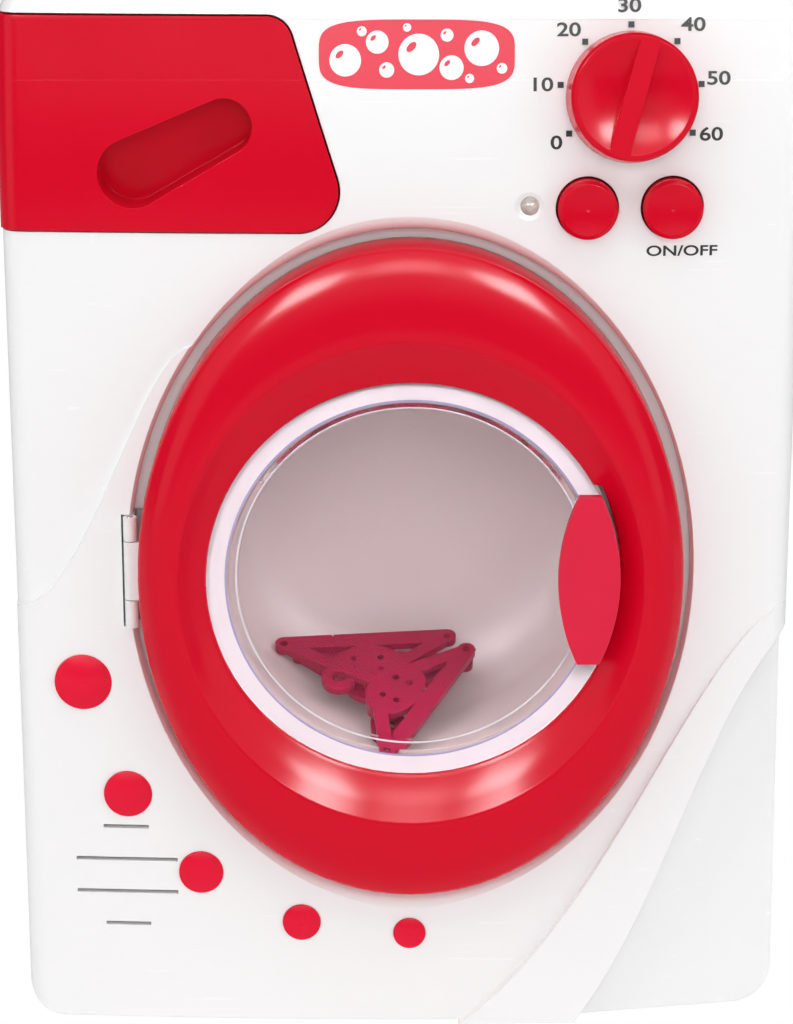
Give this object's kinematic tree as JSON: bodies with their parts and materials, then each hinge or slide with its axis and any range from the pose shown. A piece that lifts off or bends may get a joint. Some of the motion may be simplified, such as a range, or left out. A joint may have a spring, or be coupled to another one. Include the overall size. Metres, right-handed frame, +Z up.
{
  "type": "toy washing machine",
  "caption": "Free-standing toy washing machine with an oval window door, turning drum, timer knob, push buttons, detergent drawer and doll's clothes hangers in the drum.",
  "frame": {"origin": "on the floor under the middle of the bounding box", "axes": "+Z up; the front with the door faces -Y; +X to the right as seen from the front"},
  "size_m": [0.2166, 0.174, 0.304],
  "materials": {
    "case_white": "glossy white moulded plastic",
    "inner_white": "satin white moulded plastic",
    "drum_white": "satin warm white moulded plastic",
    "door_red": "glossy red moulded plastic",
    "dot_red": "glossy red moulded plastic",
    "handle_red": "satin red moulded plastic",
    "hanger_red": "glossy red moulded plastic",
    "window_clear": "clear moulded polystyrene",
    "light_clear": "water-clear epoxy",
    "foot_rubber": "matt black rubber",
    "black_plastic": "matt black plastic",
    "cone_paper": "coated paper cone",
    "gear_plastic": "natural acetal plastic",
    "board_tan": "bare phenolic board",
    "cell_wrap": "plain printed foil wrap",
    "screw_steel": "zinc-plated steel",
    "axle_steel": "ground steel",
    "motor_steel": "plated steel can",
    "bush_brass": "plain brass"
  },
  "bodies": {
    "case": {"front_shell": "case_white", "rear_shell": "case_white", "feet": "foot_rubber", "case_screws": "screw_steel", "dots": "dot_red", "tub": "inner_white", "tub_screws": "screw_steel", "drum_bush": "bush_brass", "idler_pin": "axle_steel", "gear_case": "gear_plastic", "gear_screws": "screw_steel", "motor": "motor_steel", "catch_strike": "inner_white", "hinge_bracket": "inner_white", "hinge_pin": "axle_steel", "switch_left": "black_plastic", "switch_right": "black_plastic", "control_board": "board_tan", "led": "light_clear", "speaker_basket": "black_plastic", "speaker_cone": "cone_paper", "speaker_magnet": "motor_steel", "speaker_screws": "screw_steel", "drawer_guide": "inner_white", "battery_box": "black_plastic", "battery_contacts": "screw_steel", "batteries": "cell_wrap", "battery_cover": "case_white", "cover_screw": "screw_steel"},
    "door": {"door_ring": "door_red", "door_back": "inner_white", "door_window": "window_clear", "door_handle": "handle_red", "door_screws": "screw_steel", "door_hook": "inner_white"},
    "drum": {"drum": "drum_white", "drum_axle": "axle_steel", "drum_gear": "gear_plastic", "hanger_1": "hanger_red", "hanger_2": "hanger_red", "hanger_3": "hanger_red"},
    "idler": {"idler_gear": "gear_plastic"},
    "pinion": {"motor_pinion": "bush_brass"},
    "knob": {"knob": "door_red", "knob_washer": "screw_steel", "knob_screw": "screw_steel"},
    "button_left": {"button_left": "door_red", "plunger_left": "inner_white"},
    "button_right": {"button_right": "door_red", "plunger_right": "inner_white"},
    "drawer": {"drawer_front": "door_red", "drawer_tray": "inner_white"}
  },
  "joints": [
    {"name": "door_hinge", "type": "hinge", "parent": "case", "child": "door", "pos_m": [-0.075, -0.072, 0.142], "axis": [0, 0, -1], "range_deg": [0, 100]},
    {"name": "drum_spin", "type": "hinge", "parent": "case", "child": "drum", "pos_m": [0.0029, 0, 0.1413], "axis": [0, 1, 0], "continuous": true},
    {"name": "idler_spin", "type": "hinge", "parent": "case", "child": "idler", "pos_m": [0.0029, 0, 0.1713], "axis": [0, 1, 0], "continuous": true},
    {"name": "pinion_spin", "type": "hinge", "parent": "case", "child": "pinion", "pos_m": [0.0029, 0, 0.1913], "axis": [0, 1, 0], "continuous": true},
    {"name": "timer_turn", "type": "hinge", "parent": "case", "child": "knob", "pos_m": [0.061, -0.06873, 0.2738], "axis": [-0.0407, 0.9871, -0.1551], "range_deg": [-135, 105]},
    {"name": "left_push", "type": "slide", "parent": "case", "child": "button_left", "axis": [0, 0.9993, -0.038], "range_m": [0, 0.0025], "stiffness_N_per_m": 300},
    {"name": "right_push", "type": "slide", "parent": "case", "child": "button_right", "axis": [0, 0.9993, -0.038], "range_m": [0, 0.0025], "stiffness_N_per_m": 300},
    {"name": "drawer_slide", "type": "slide", "parent": "case", "child": "drawer", "axis": [0, -1, 0], "range_m": [0, 0.042]}
  ],
  "couplings": [
    {"joint": "idler_spin", "follows": "drum_spin", "ratio": -4},
    {"joint": "pinion_spin", "follows": "drum_spin", "ratio": 16}
  ]
}
